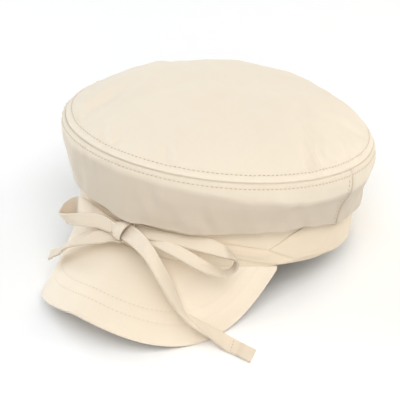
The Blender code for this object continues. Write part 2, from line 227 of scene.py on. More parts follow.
# The sash: angle, lower edge above the band's bottom, upper edge height
SASH_ROWS = (
    (3.0, 9.0, 21.5),
    (30.0, 8.0, 20.5),
    (48.0, 5.4, 17.4),
    (61.0, 2.6, 13.6),
    (66.5, 1.4, 18.4),
    (71.0, 2.4, 22.4),
    (76.0, 3.4, 25.4),
    (82.0, 3.4, SASH_TOP),
    (96.0, 1.4, SASH_TOP),
    (180.0, 0.8, SASH_TOP),
)

# Shallow folds in the sash at each side: angle, height, lean from upright
SASH_FOLDS = ((84.0, 12.0, 60.0), (92.0, 18.0, 40.0), (104.0, 10.0, -50.0))

# The peak: how far round the band it reaches, how far out, how it falls towards its corners,
# how it fans out, and the depth under the band that its board is set at
PEAK_HALF_ANGLE = 66.8
PEAK_REACH = 56.5
PEAK_REACH_GAIN = 0.21
PEAK_SQUARENESS = 3.06
PEAK_SLOPE = 36.6
PEAK_SLOPE_GAIN = 61.7
PEAK_SLOPE_POWER = 1.33
PEAK_FAN = 0.65
PEAK_SEAT = 2.6

# Distances of the peak's rows of stitches from its edge
PEAK_ROWS_OF_STITCHES = (13.6, 21.3)

TIE_WIDTH = 12.0
TIE_STEPS_PER_CUT = 9
TIE_STEPS_ACROSS = 12

# Each row is a cut across the tie: one edge and the other edge
LOOP_LEFT = (
    ((3.6, -100.8, 18.8), (3.4, -102.8, 17.2)),
    ((8.4, -100.0, 20.2), (8.8, -103.4, 17.6)),
    ((13.4, -99.6, 20.8), (15.4, -104.8, 18.4)),
    ((19.5, -98.9, 21.2), (24.0, -107.2, 19.2)),
    ((29.0, -95.8, 22.0), (37.4, -104.4, 20.6)),
    ((37.7, -91.8, 22.8), (46.0, -99.4, 19.6)),
    ((46.0, -87.6, 23.4), (54.0, -93.6, 17.8)),
    ((53.4, -83.0, 23.2), (61.0, -88.2, 16.4)),
    ((59.9, -79.8, 21.8), (68.0, -85.6, 16.2)),
    ((65.0, -77.6, 19.6), (73.4, -85.0, 16.8)),
    ((68.9, -76.6, 16.8), (77.0, -84.6, 16.8)),
    ((70.9, -76.8, 13.6), (79.0, -85.0, 15.8)),
    ((71.0, -77.8, 10.6), (79.2, -86.0, 12.8)),
    ((69.8, -79.4, 8.0), (77.6, -88.0, 9.4)),
    ((67.0, -82.4, 6.8), (73.8, -92.0, 6.8)),
    ((61.6, -86.8, 9.6), (66.2, -97.8, 8.0)),
    ((57.3, -95.0, 15.1), (57.8, -103.5, 11.8)),
    ((49.3, -99.5, 19.0), (47.1, -107.5, 15.4)),
    ((41.1, -102.8, 21.0), (37.2, -108.5, 16.8)),
    ((32.2, -104.3, 20.5), (29.3, -108.0, 16.8)),
    ((23.2, -104.5, 18.7), (21.4, -107.5, 15.7)),
    ((14.2, -103.3, 17.1), (13.4, -106.3, 14.4)),
    ((6.4, -100.6, 14.2), (6.6, -104.8, 12.8)),
    ((2.2, -101.0, 14.8), (2.0, -103.8, 13.8)),
)
LOOP_RIGHT = (
    ((-2.7, -102.0, 19.6), (-4.8, -102.9, 13.4)),
    ((-7.7, -101.4, 20.2), (-6.9, -102.6, 12.4)),
    ((-14.4, -100.4, 21.0), (-12.6, -103.2, 12.5)),
    ((-24.9, -97.8, 21.6), (-20.6, -105.6, 19.2)),
    ((-34.2, -94.8, 21.8), (-27.6, -106.8, 18.4)),
    ((-41.8, -92.8, 21.5), (-33.9, -103.6, 16.0)),
    ((-44.4, -91.7, 20.7), (-38.7, -98.0, 11.6)),
    ((-47.2, -91.4, 19.6), (-43.2, -93.8, 8.4)),
    ((-49.8, -92.8, 17.8), (-46.7, -93.2, 6.6)),
    ((-51.8, -95.6, 15.3), (-47.6, -94.6, 5.4)),
    ((-51.8, -98.6, 12.9), (-46.9, -96.2, 4.3)),
    ((-50.7, -101.6, 11.4), (-46.2, -98.4, 4.0)),
    ((-48.6, -104.4, 11.2), (-44.1, -101.0, 4.6)),
    ((-43.6, -107.0, 12.9), (-39.2, -104.6, 6.3)),
    ((-38.2, -108.6, 15.1), (-34.1, -107.2, 8.2)),
    ((-32.5, -109.2, 17.6), (-29.2, -108.6, 9.8)),
    ((-27.1, -108.6, 19.9), (-24.7, -108.6, 11.1)),
    ((-21.8, -107.2, 21.3), (-20.3, -107.5, 12.0)),
    ((-16.5, -105.9, 21.9), (-15.2, -106.4, 13.0)),
    ((-10.7, -105.0, 21.8), (-9.7, -105.7, 13.0)),
    ((-2.6, -104.4, 20.2), (-4.9, -105.2, 13.2)),
)
TAIL_LEFT = (
    ((3.4, -101.4, 19.6), (2.6, -106.4, 13.6)),
    ((8.1, -102.9, 21.9), (6.6, -108.9, 13.5)),
    ((13.4, -104.6, 22.2), (12.7, -111.4, 14.0)),
    ((19.4, -107.1, 22.4), (18.7, -113.6, 14.1)),
    ((26.3, -109.4, 21.1), (24.5, -115.4, 13.2)),
    ((31.5, -110.0, 17.9), (30.0, -116.6, 11.5)),
    ((35.7, -109.6, 13.7), (35.1, -117.2, 8.4)),
    ((38.7, -108.0, 8.8), (39.4, -116.8, 4.2)),
    ((41.5, -106.2, 3.5), (43.4, -116.0, -0.6)),
    ((44.3, -104.6, -1.8), (46.9, -115.0, -5.1)),
    ((47.2, -103.0, -7.6), (50.8, -113.8, -10.0)),
    ((50.2, -101.6, -13.4), (54.9, -112.0, -14.6)),
    ((52.5, -100.2, -18.6), (57.4, -106.8, -21.6)),
    ((54.6, -98.2, -21.8), (63.0, -98.4, -30.6)),
    ((59.4, -94.4, -24.9), (68.2, -93.2, -35.0)),
    ((64.8, -88.2, -29.2), (73.4, -91.0, -37.4)),
    ((69.8, -81.6, -33.6), (77.8, -89.4, -39.4)),
    ((76.6, -77.6, -36.6), (82.6, -88.6, -40.8)),
    ((85.0, -76.6, -38.0), (89.6, -88.4, -41.0)),
    ((95.2, -76.9, -38.4), (99.6, -88.8, -41.1)),
)
TAIL_RIGHT = (
    ((3.4, -101.4, 8.9), (3.4, -105.4, 8.7)),
    ((-1.6, -102.2, 9.8), (-3.1, -105.4, 7.4)),
    ((-8.2, -103.4, 10.8), (-8.3, -107.2, 5.1)),
    ((-14.6, -104.2, 11.2), (-13.8, -108.6, 2.9)),
    ((-21.0, -104.9, 9.0), (-19.2, -110.4, 0.9)),
    ((-27.4, -105.6, 5.6), (-24.4, -112.4, -1.0)),
    ((-33.6, -106.0, 0.4), (-29.4, -113.8, -3.2)),
    ((-40.6, -104.0, -6.2), (-34.5, -114.2, -6.6)),
    ((-48.5, -100.9, -12.8), (-42.1, -111.1, -13.1)),
    ((-55.0, -98.4, -17.0), (-48.5, -108.4, -18.1)),
    ((-60.5, -96.6, -20.6), (-54.0, -106.6, -22.0)),
)

# Folds across a tail: cut on its first edge, cut on its second edge, height of the step, how
# soft it is
TAIL_LEFT_FOLDS = (
    (12.1, 14.3, -0.9, 0.07),
    (17.9, 17.9, 0.35, 0.04),
    (18.1, 18.1, -0.35, 0.04),
)
TAIL_RIGHT_FOLDS = (
    (3.0, 7.8, 1.1, 0.09),
    (9.1, 9.1, 0.3, 0.05),
)
# The cut that the long tail's hem is stitched at
TAIL_HEM = 17.3
# How dark painted shade makes each tie along its second edge
EDGE_SHADE = 0.2

# The ties of the bow: node, how it is held, its cuts, its folds, and its painted shades, each
# from a cut to a cut and how dark
SOFT_TIES = (
    ("bow_loop_left", "folded", LOOP_LEFT, (), ((8.6, 12.6, 0.2),)),
    ("bow_loop_right", "folded", LOOP_RIGHT, (), ((5.8, 12.2, 0.24), (12.2, 25.0, 0.06))),
    ("bow_tail_left", "hung", TAIL_LEFT, TAIL_LEFT_FOLDS, ((13.3, 16.4, 0.09),)),
    ("bow_tail_right", "hung", TAIL_RIGHT, TAIL_RIGHT_FOLDS, ((-5.0, 15.0, 0.06),)),
)

# The knot: its middle, its two ends along the tie, its two widths, its turn about Y and Z, and
# how much its ends rise
KNOT_CENTRE = (1.8, -103.3, 16.3)
KNOT_REACH = (-6.6, 4.9)
KNOT_SIZE = (11.6, 11.0)
KNOT_TURN = (20.0, -1.0)
KNOT_RISE = (-2.0, 2.2)
KNOT_SQUARENESS = 0.75

STITCH_PITCH = 2.9
STITCH_LENGTH = 1.9
STITCH_WIDTH = 0.62
FINE_STITCH_WIDTH = 0.42
HEM_STITCH_WIDTH = 0.45
STITCH_RISE = 0.16
STITCH_SUNK = 0.10
STITCH_SIDES = 6
STITCH_RINGS = 5

# Colours. Each cotton is the cream times its own tone, painted light or shade on that part
CREAM = (0.80, 0.715, 0.592)
COTTON_LIGHT_AND_SHADE_TONES = (
    ("top_cotton", (1.0, 0.995, 0.995)),
    ("side_cotton", (0.92, 0.91, 0.90)),
    ("band_cotton", (0.98, 0.945, 0.89)),
    ("sash_cotton", (0.955, 0.91, 0.85)),
    ("peak_cotton", (1.05, 1.03, 1.01)),
    ("tie_cotton", (0.96, 0.935, 0.915)),
)
# The brown that painted shade mixes into the cotton in seams, folds, hollows and under edges
PAINTED_SHADE_BROWN = (0.22, 0.14, 0.08)
THREAD = (0.56, 0.43, 0.28)
PALE_THREAD = (0.70, 0.60, 0.46)

# The cotton: width of a yarn in mm, height of the weave, its surface
YARN = 0.62
WEAVE_HEIGHT = 0.05
COTTON_ROUGHNESS = 0.86
COTTON_SHEEN = 0.18

WHITE = (1.0, 1.0, 1.0)
WARM = (1.0, 0.98, 0.93)
COOL = (0.87, 0.94, 1.0)

# Softboxes round the cap: name, azimuth from the camera, elevation, power, colour
SOFTBOXES = (
    ("front", 0.0, 38.0, 12.3, WHITE),
    ("front_right", 45.0, 38.0, 2.7, WARM),
    ("high_front", 0.0, 62.0, 4.8, WHITE),
    ("high_right", 45.0, 62.0, 3.2, WARM),
    ("right", 90.0, 38.0, 6.9, WARM),
    ("low_back_right", 135.0, 15.0, 11.2, WARM),
    ("low_back_left", 225.0, 15.0, 8.6, WHITE),
    ("back_left", 225.0, 38.0, 4.6, COOL),
    ("low_left", 270.0, 15.0, 5.0, COOL),
    ("left", 270.0, 38.0, 3.9, COOL),
)
SOFTBOX_DISTANCE = 1.6
SOFTBOX_SIZE = 0.9
LIT_POINT = Vector((0.0, 0.0, 0.05))
FLOOR_HALF_SIZE = 3.0
FLOOR_WHITE = (0.97, 0.97, 0.97, 1.0)


# ---------------------------------------------------------------- points

def spline(rows, place):
    """Smooth curve through rows of numbers: place runs from 0 to the last row."""
    rows = np.asarray(rows, float)
    place = np.clip(np.asarray(place, float), 0.0, len(rows) - 1.0)
    index = np.minimum(place.astype(int), len(rows) - 2)
    t = (place - index).reshape(place.shape + (1,) * (rows.ndim - 1))
    before = rows[np.maximum(index - 1, 0)]
    start, end = rows[index], rows[index + 1]
    after = rows[np.minimum(index + 2, len(rows) - 1)]
    return 0.5 * (
        2.0 * start
        + (end - before) * t
        + (2.0 * before - 5.0 * start + 4.0 * end - after) * t**2
        + (3.0 * start - before - 3.0 * end + after) * t**3
    )


def step(low, high, value):
    """0 below low, 1 above high, eased in between."""
    share = np.clip((value - low) / (high - low), 0.0, 1.0)
    return share * share * (3.0 - 2.0 * share)


def eased(rows, place):
    """A table's second column at places along its first, eased from row to row."""
    rows = np.array(rows)
    index = np.clip(np.searchsorted(rows[:, 0], place, side="right") - 1, 0, len(rows) - 2)
    share = step(rows[index, 0], rows[index + 1, 0], place)
    return rows[index, 1] * (1.0 - share) + rows[index + 1, 1] * share


def bump(value, width):
    """1 at zero, falling off to 0 a few widths away on both sides."""
    return np.exp(-((value / width) ** 2))


def crease(right, up, lean, length, width):
    """A soft fold through the origin, leaning from the first way towards the second: a valley
    with a low ridge on one side of it."""
    cosine, sine = math.cos(math.radians(lean)), math.sin(math.radians(lean))
    along = right * cosine + up * sine
    across = up * cosine - right * sine
    valley = bump(across, width) - 0.55 * bump(across - 1.5 * width, width)
    return valley * bump(along, length)


def signed(angle):
    """The same angle between -180 and 180 degrees."""
    return (angle + 180.0) % 360.0 - 180.0


def half_angle(angle):
    """The angle from the front, the same on both sides, from 0 to 180 degrees."""
    folded = np.abs(angle) % 360.0
    return np.where(folded > 180.0, 360.0 - folded, folded)


def oval(angle, half_width, half_depth, centre, height):
    """Points round the head at angles from the front."""
    turn = np.radians(angle)
    x, y, z = np.broadcast_arrays(
        half_width * np.sin(turn), centre - half_depth * np.cos(turn), height
    )
    return np.stack([x, y, z], -1)


def waves(angle, first, last, seed):
    """A ripple round the head, made of whole waves, between about -1 and 1."""
    draw = np.random.RandomState(seed)
    total = np.zeros_like(angle, dtype=float)
    for count in range(first, last):
        total += draw.normal() * np.cos(count * np.radians(angle) + draw.uniform(0, 2 * math.pi))
    return total / math.sqrt(last - first)


def rumple(points, size, seed):
    """Slow random swelling of cloth, between about -1 and 1, with humps of about one size."""
    draw = np.random.RandomState(seed)
    total = np.zeros(points.shape[:-1])
    for _ in range(RUMPLE_WAVES):
        way = draw.normal(size=3)
        way *= draw.uniform(0.7, 1.4) * math.pi / size / np.linalg.norm(way)
        total += np.cos(points @ way + draw.uniform(0, 2 * math.pi))
    return total / math.sqrt(RUMPLE_WAVES)


def normals(points, wrap):
    """Unit normals of a grid of points, on the side from which its rows run down and its
    columns run to the right."""
    across = np.gradient(points, axis=0)
    if wrap:
        along = (np.roll(points, -1, 1) - np.roll(points, 1, 1)) / 2.0
    else:
        along = np.gradient(points, axis=1)
    facing = np.cross(across, along)
    length = np.linalg.norm(facing, axis=-1, keepdims=True)
    return facing / np.maximum(length, 1e-9)


def travelled(points):
    """Distance along each column of a grid, from its first row."""
    steps = np.linalg.norm(np.diff(points, axis=0), axis=-1)
    return np.vstack([np.zeros((1, points.shape[1])), np.cumsum(steps, axis=0)])


def band_bottom(angle):
    """Height of the band's lower edge, pressed up a little where the cap rests on it."""
    depth = HEAD_HALF_DEPTH - BAND_INSET
    behind = depth * (1.0 + np.cos(np.radians(angle)))
    ground = BAND_EDGE[-1][1] + REST_PRESS - behind * math.tan(math.radians(REST_PITCH))
    return np.maximum(eased(BAND_EDGE, half_angle(angle)), ground)


# ---------------------------------------------------------------- meshes

def to_world(points):
    """Tips the cap's points back to their resting pose, in metres."""
    turn = math.radians(-REST_PITCH)
    x, y, z = points[..., 0], points[..., 1], points[..., 2]
    tipped = np.stack(
        [x, y * math.cos(turn) - z * math.sin(turn), y * math.sin(turn) + z * math.cos(turn)], -1
    )
    return (tipped + np.array(CAP_ORIGIN)) * MM


def grid_mesh(name, points, uv, shade=0.0, wrap=False, middle=None):
    """A sheet through a grid of points; uv gives each point its place on the cut cloth, in mm,
    and shade how much painted shade darkens the cloth there, from 0 to 1."""
    rows, columns = points.shape[:2]
    verts = to_world(points).reshape(-1, 3).tolist()
    flat = (np.asarray(uv) * MM).reshape(-1, 2)
    dark = np.broadcast_to(shade, (rows, columns)).reshape(-1, 1) * np.ones(2)
    faces, corners = [], []
    for row in range(rows - 1):
        for column in range(columns if wrap else columns - 1):
            after = (column + 1) % columns
            quad = [
                row * columns + column,
                (row + 1) * columns + column,
                (row + 1) * columns + after,
                row * columns + after,
            ]
            faces.append(quad)
            corners.extend(quad)
    if middle is not None:
        verts.append(to_world(np.array(middle)).tolist())
        flat = np.vstack([flat, [[0.0, 0.0]]])
        dark = np.vstack([dark, [[0.0, 0.0]]])
        centre = len(verts) - 1
        for column in range(columns):
            last = (rows - 1) * columns
            tri = [last + column, centre, last + (column + 1) % columns]
            faces.append(tri)
            corners.extend(tri)
    mesh = bpy.data.meshes.new(name)
    mesh.from_pydata(verts, [], faces)
    for layer, values in (("cut", flat), ("shade", dark)):
        mesh.uv_layers.new(name=layer).data.foreach_set("uv", values[corners].ravel())
    mesh.update()
    return mesh


def add_object(name, data):
    thing = bpy.data.objects.new(name, data)
    bpy.context.scene.collection.objects.link(thing)
    return thing


def add_piece(name, mesh, material):
    piece = add_object(name, mesh)
    mesh.materials.append(material)
    mesh.shade_smooth()
    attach(piece, "root")
    return piece


def thicken(piece, thickness, offset=0.0, rounded=0.0):
    """Gives a sheet its thickness, all behind it at offset -1, and rounds its cut edges."""
    solid = piece.modifiers.new("cloth", "SOLIDIFY")
    solid.thickness = thickness * MM
    solid.offset = offset
    if rounded:
        edge = piece.modifiers.new("turned_edge", "BEVEL")
        edge.width = rounded * MM
        edge.segments = 2
        edge.limit_method = "ANGLE"
        edge.angle_limit = math.radians(50.0)
    return piece


def stand_for(piece, node):
    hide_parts(node)


# ---------------------------------------------------------------- materials

class Value:
    """A shader socket that takes part in sums: each operator adds its Math node."""

    def __init__(self, shader, socket):
        self.shader = shader
        self.socket = socket

    def _math(self, operation, *others):
        return self.shader.add("ShaderNodeMath", {"operation": operation}, *others)

    def __add__(self, other):
        return self._math("ADD", self, other)

    def __sub__(self, other):
        return self._math("SUBTRACT", self, other)

    def __mul__(self, other):
        return self._math("MULTIPLY", self, other)

    def sine(self):
        return self._math("SINE", self)

    def size(self):
        return self._math("ABSOLUTE", self)


class Shader:
    """The node tree of one material, with its Principled BSDF."""

    def __init__(self, name):
        self.material = bpy.data.materials.new(name)
        self.material.use_nodes = True
        self.tree = self.material.node_tree
        self.surface = self.tree.nodes["Principled BSDF"]

    def feed(self, socket, value):
        if isinstance(value, Value):
            self.tree.links.new(value.socket, socket)
        else:
            socket.default_value = value

    def add(self, kind, settings, *inputs, out=0, **named):
        node = self.tree.nodes.new(kind)
        for key, value in settings.items():
            setattr(node, key, value)
        for place, value in [*enumerate(inputs), *named.items()]:
            self.feed(node.inputs[place], value)
        return Value(self, node.outputs[out])

    def give(self, socket, value):
        """Feeds one of the surface's own sockets."""
        self.feed(self.surface.inputs[socket], value)

    def layer(self, name):
        """A UV layer, and its two parts."""
        place = self.add("ShaderNodeUVMap", {"uv_map": name})
        parts = self.tree.nodes.new("ShaderNodeSeparateXYZ")
        self.feed(parts.inputs[0], place)
        return place, Value(self, parts.outputs[0]), Value(self, parts.outputs[1])

    def mix_colour(self, share, one, other):
        node = self.tree.nodes.new("ShaderNodeMix")
        node.data_type = "RGBA"
        for socket, value in ((0, share), (6, one), (7, other)):
            self.feed(node.inputs[socket], value if isinstance(value, Value) else (*value, 1.0))
        return Value(self, node.outputs[2])


def cotton(name, colour):
    """Plain woven cotton: over and under yarns, slubs along them, a slightly uneven dye, and
    painted shade, a brown mixed into its colour where the shade layer says so."""
    cloth = Shader(name)
    place, across, along = cloth.layer("cut")
    solid = cloth.add("ShaderNodeTexCoord", {}, out=3)

    turns = math.pi / (YARN * MM)
    warp, weft = (across * turns).sine(), (along * turns).sine()
    weave = (warp * weft) * 0.5 + (warp.size() + weft.size()) * 0.25

    def noise(scale, detail, stretch=None):
        source = solid
        if stretch:
            source = cloth.add("ShaderNodeMapping", {}, place, Scale=stretch)
        return cloth.add("ShaderNodeTexNoise", {}, Vector=source, Scale=scale, Detail=detail)

    slubs = noise(900.0, 1.0, (1.0, 0.06, 1.0)) + noise(900.0, 1.0, (0.06, 1.0, 1.0))
    patch = noise(24.0, 3.0)
    crumple = noise(140.0, 3.0)

    pale = tuple(min(1.0, part * 1.035) for part in colour)
    deep = (colour[0] * 0.955, colour[1] * 0.94, colour[2] * 0.915)
    uneven = patch * 0.45 + slubs * 0.25 + weave * 0.14 - 0.1
    tone = cloth.mix_colour(uneven, pale, deep)
    # Painted shade: the shade layer mixes a dark brown into the colour
    _, dark, _ = cloth.layer("shade")
    cloth.give("Base Color", cloth.mix_colour(dark, tone, PAINTED_SHADE_BROWN))
    cloth.give("Roughness", patch * 0.10 + (COTTON_ROUGHNESS - 0.05))
    cloth.give("Sheen Weight", COTTON_SHEEN)
    cloth.give("Sheen Roughness", 0.55)
    cloth.give("Specular IOR Level", 0.22)

    relief = weave * WEAVE_HEIGHT + slubs * (WEAVE_HEIGHT * 0.9) + crumple * 0.16
    lifted = cloth.add("ShaderNodeBump", {}, Strength=0.55, Distance=MM, Height=relief)
    cloth.give("Normal", lifted)
    return cloth.material


def thread(name, colour):
    """Twisted sewing thread."""
    yarn = Shader(name)
    solid = yarn.add("ShaderNodeTexCoord", {}, out=3)
    twist = yarn.add("ShaderNodeTexNoise", {}, Vector=solid, Scale=2500.0, Detail=1.0)
    deep = tuple(part * 0.82 for part in colour)
    yarn.give("Base Color", yarn.mix_colour(twist, colour, deep))
    twisted = yarn.add("ShaderNodeBump", {}, Strength=0.4, Distance=0.2 * MM, Height=twist)
    yarn.give("Normal", twisted)
    yarn.give("Roughness", 0.7)
    yarn.give("Sheen Weight", 0.1)
    return yarn.material


# ---------------------------------------------------------------- crown

def seam_relief(distance, row):
    """Cloth beside the seam: it dips into the seam, is lifted by the turned edge under it,
    and is pulled in at the row of stitching."""
    lifted = SEAM_LIFT * step(0.2, 1.4, distance) * (1.0 - step(row + 0.3, row + 2.4, distance))
    return lifted - SEAM_DIP * bump(distance, 0.4) - STITCH_DIP * bump(distance - row, 0.6)


def seam_shade(distance, row):
    """Painted shade: how far the cloth is darkened in a seam and along its row of stitching."""
    return SEAM_SHADE * bump(distance, 0.55) + STITCH_SHADE * bump(distance - row, 0.6)


def puckers(angle, distance, row, seed):
    """Short gathers beyond the row of stitching, and finer ones between it and the seam."""
    strong = 0.55 + 0.45 * waves(angle, 3, 9, seed + 1)
    outside = step(row - 0.5, row + 1.5, distance) * np.exp(-np.maximum(distance - row, 0.0) / 9.0)
    between = step(0.6, 1.6, distance) * (1.0 - step(row - 0.8, row, distance))
    coarse = COARSE_PUCKERS * strong * outside * waves(angle, 28, 62, seed)
    return coarse + FINE_PUCKERS * between * strong * waves(angle, 80, 140, seed + 2)


def top_grid():
    """The top's cloth, from the seam in towards its middle."""
    _, seam_height, half_width, half_depth, centre = CROWN_RINGS[0]
    angle = -np.arange(TOP_COLUMNS) * 360.0 / TOP_COLUMNS
    reach = 1.0 - (np.arange(TOP_ROWS) / TOP_ROWS) ** 1.7
    turn, part = np.meshgrid(angle, reach)
    points = oval(turn, half_width * part, half_depth * part, centre, seam_height)
    rise = TOP_RISE + TOP_RISE_TO_BACK * (points[..., 1] - centre) / half_depth
    points[..., 2] += rise * (1.0 - part**TOP_SHOULDER) ** TOP_EDGE
    distance = travelled(points)
    away = step(2.0, 12.0, distance)
    for _, x, y, heading, length, width, depth in TOP_FOLDS:
        fold = crease(points[..., 0] - x, points[..., 1] - y, heading, length, width)
        points[..., 2] -= TOP_FOLD_STRENGTH * depth * away * fold
    out = normals(points, wrap=True)
    lift = seam_relief(distance, STITCH_ABOVE) + puckers(turn, distance, STITCH_ABOVE, seed=11)
    lift += away * (0.55 * rumple(points, 30.0, seed=5) + 0.26 * rumple(points, 10.0, seed=6))
    return points + out * lift[..., None], distance


def crown_top(material):
    points, distance = top_grid()
    _, seam_height, _, _, centre = CROWN_RINGS[0]
    middle = (0.0, centre, seam_height + TOP_RISE)
    shade = seam_shade(distance, STITCH_ABOVE)
    mesh = grid_mesh("crown_top", points, points[..., :2], shade, wrap=True, middle=middle)
    piece = thicken(add_piece("crown_top_cloth", mesh, material), CROWN_CLOTH, offset=-1.0)
    stand_for(piece, "crown_top")
    return points, distance


def side_points(angle):
    """The side's cloth: flat from the seam to the shoulder, then down to the fold and up
    inside. Its part runs from 0 at the seam to 2 at the shoulder, then by one for each ring."""
    rings = np.array([ring[1:] for ring in CROWN_RINGS])
    shape = np.repeat(rings[:, None], len(angle), axis=1)
    seam, shoulder, under, belly = shape[0], shape[2], shape[3], shape[4]
    shoulder[:, 0] = eased(SHOULDER_LINE, signed(angle))
    shoulder[:, 1:3] += SHOULDER_OUT
    under[:, 0] = belly[:, 0] + (shoulder[:, 0] - belly[:, 0]) * 0.5
    share = np.linspace(0.0, 1.0, ROWS_ABOVE_SHOULDER)[:, None, None]
    strip = seam * (1.0 - share) + shoulder * share
    swell = STRIP_SWELL * (seam[:, 0] - shoulder[:, 0])
    strip[..., 1:3] += (swell[None] * np.sin(math.pi * share[..., 0]))[..., None]
    place = (len(rings) - 3.0) * np.linspace(0.0, 1.0, ROWS_BELOW_SHOULDER) ** 1.1
    profile = np.concatenate([strip, spline(shape[2:], place[1:])])
    part = np.concatenate([2.0 * share[:, 0, 0], 2.0 + place[1:]])
    corner = ROWS_ABOVE_SHOULDER
    for _ in range(2):
        softer = (profile[:-2] + 2.0 * profile[1:-1] + profile[2:]) / 4.0
        profile[corner - 4 : corner + 4] = softer[corner - 5 : corner + 3]
    height, half_width, half_depth, centre = (profile[..., k] for k in range(4))
    turn, part = np.meshgrid(angle, part)
    share = np.clip((rings[0, 0] - height) / (rings[0, 0] - FOLD_HEIGHT), 0.0, 1.0)
    hangs = 1.0 - step(8.0, 9.0, part)
    height = height - eased(FOLD_DROP, signed(turn)) * share**2 * hangs
    return oval(turn, half_width, half_depth, centre, height), turn, part


def side_grid(first, last, columns):
    """The side's cloth from one seam to the other, with its folds and turned edges."""
    points, turn, part = side_points(np.linspace(first, last, columns))
    distance = travelled(points)
    out = normals(points, wrap=False)
    away = step(3.0, 12.0, distance) * (1.0 - step(6.6, 8.0, part))
    lift = seam_relief(distance, STITCH_BELOW) + puckers(turn, distance, STITCH_BELOW, seed=31)
    for _, fold_angle, fold_height, lean, length, width, depth in SIDE_FOLDS:
        sweep = np.radians(signed(turn - fold_angle)) * SIDE_RADIUS
        fold = crease(points[..., 2] - fold_height, sweep, lean, length, width)
        lift -= SIDE_FOLD_STRENGTH * depth * away * fold
    lift += away * (0.55 * rumple(points, 18.0, seed=15) + 0.30 * rumple(points, 7.0, seed=16))
    lift += 0.25 * bump(part - 2.0, 0.5) * waves(turn, 12, 30, seed=17)
    upright = step(3.8, 6.5, distance) * (1.0 - step(6.8, 7.6, part))
    for seam_angle in (first, last):
        near = np.abs(turn - seam_angle) * math.radians(SIDE_RADIUS)
        lift += upright * (0.4 * step(0.2, 1.2, near) * (1.0 - step(3.6, 5.2, near)))
        lift -= upright * (0.5 * bump(near, 0.8) + 0.45 * bump(near - SIDE_TOPSTITCH, 0.7))
    return points + out * lift[..., None], distance, turn


def crown_side(name, node, first, last, material):
    clear = math.degrees(SIDE_SEAM_OPENING / SIDE_RADIUS)
    columns = int((last - first) / SIDE_COLUMN_ANGLE)
    points, distance, turn = side_grid(first + clear, last - clear, columns)
    uv = np.stack([np.radians(turn) * SIDE_RADIUS, -distance], -1)
    # Painted shade: a line in each seam and along its stitching, and the wall under the shoulder
    # darkened, less round the wearer's right
    below = step(-0.5, 4.5, eased(SHOULDER_LINE, signed(turn)) - points[..., 2])
    full = WALL_SHADE * (0.45 + 0.55 * step(-55.0, -5.0, signed(turn)))
    near = np.minimum(np.abs(turn - first), np.abs(turn - last)) * math.radians(SIDE_RADIUS)
    shade = seam_shade(distance, STITCH_BELOW) + full * below + seam_shade(near, SIDE_TOPSTITCH)
    mesh = grid_mesh(name, points, uv, shade)
    piece = thicken(add_piece(name, mesh, material), CROWN_CLOTH, offset=-1.0)
    stand_for(piece, node)
    return points, distance, turn


# ---------------------------------------------------------------- band, sash and peak

def band(material):
    turn, part = np.meshgrid(np.arange(180) * 2.0, np.linspace(1.0, 0.0, 14))
    low = band_bottom(turn) - BAND_OVER_PEAK * (1.0 - step(61.0, 66.0, half_angle(turn)))
    height = low + (BAND_TOP - low) * part
    inset = BAND_INSET - BAND_FULLNESS * np.sin(math.pi * part)
    points = oval(turn, HEAD_HALF_WIDTH - inset, HEAD_HALF_DEPTH - inset, 0.0, height)
    uv = np.stack([np.radians(turn) * BAND_RADIUS, height], -1)
    piece = add_piece("band_cloth", grid_mesh("band_cloth", points, uv, wrap=True), material)
    thicken(piece, BAND_CLOTH, rounded=0.5)
    stand_for(piece, "band")


def sash(material):
    """The outer cloth: full height round the back, folded down to a narrow tie at each side."""
    angle = np.concatenate([np.arange(3.0, 96.0, 0.6), np.arange(96.0, 180.0, 1.5)])
    angle = np.concatenate([angle, [180.0], 360.0 - angle[::-1]])
    turn, part = np.meshgrid(angle, np.linspace(1.0, 0.0, 22))
    folded = half_angle(turn)
    cut = np.array(SASH_ROWS)
    low = band_bottom(turn) + np.interp(folded, cut[:, 0], cut[:, 1])
    high = np.interp(folded, cut[:, 0], cut[:, 2])
    height = low + (high - low) * part
    points = oval(turn, HEAD_HALF_WIDTH - SASH_INSET, HEAD_HALF_DEPTH - SASH_INSET, 0.0, height)
    out = normals(points, wrap=False)

    full = step(60.0, 80.0, folded)
    inner = np.minimum(high - height, height - low)
    lift = 0.22 * step(0.0, 5.0, inner) * rumple(points, 13.0, seed=41) * (0.5 + full)
    lift -= 0.28 * full * bump(height - low - 2.0, 0.6)
    free_edge = 1.0 - step(78.0, 84.0, folded)
    lift -= 0.6 * (1.0 - step(0.0, 4.0, high - height)) * free_edge
    pleat = (height - 13.2) + (folded - 60.6) * 0.69
    pleated = step(58.0, 61.0, folded) * (1.0 - step(71.0, 74.0, folded))
    lift -= 0.8 * bump(pleat, 0.6) * pleated
    strap = (height - low) - 0.42 * (high - low)
    lift += 0.45 * bump(strap, 1.3) * (1.0 - step(56.0, 62.0, folded))
    for fold_angle, fold_height, lean in SASH_FOLDS:
        sweep = np.radians(folded - fold_angle) * BAND_RADIUS
        lift -= 0.35 * crease(height - fold_height, sweep, lean, 8.0, 2.4)

    uv = np.stack([np.radians(turn) * SASH_RADIUS, height], -1)
    # Painted shade: the lower part of the narrow tie at the front, the pleat, and along the free
    # upper edge
    shade = 0.08 * (1.0 - step(56.0, 66.0, folded)) * (1.0 - step(0.55, 0.75, part))
    shade += 0.12 * bump(pleat, 0.7) * pleated
    shade += 0.14 * bump(high - height, 0.7) * free_edge
    mesh = grid_mesh("sash_cloth", points + out * lift[..., None], uv, shade)
    piece = thicken(add_piece("sash_cloth", mesh, material), SASH_CLOTH, rounded=0.4)
    stand_for(piece, "sash")


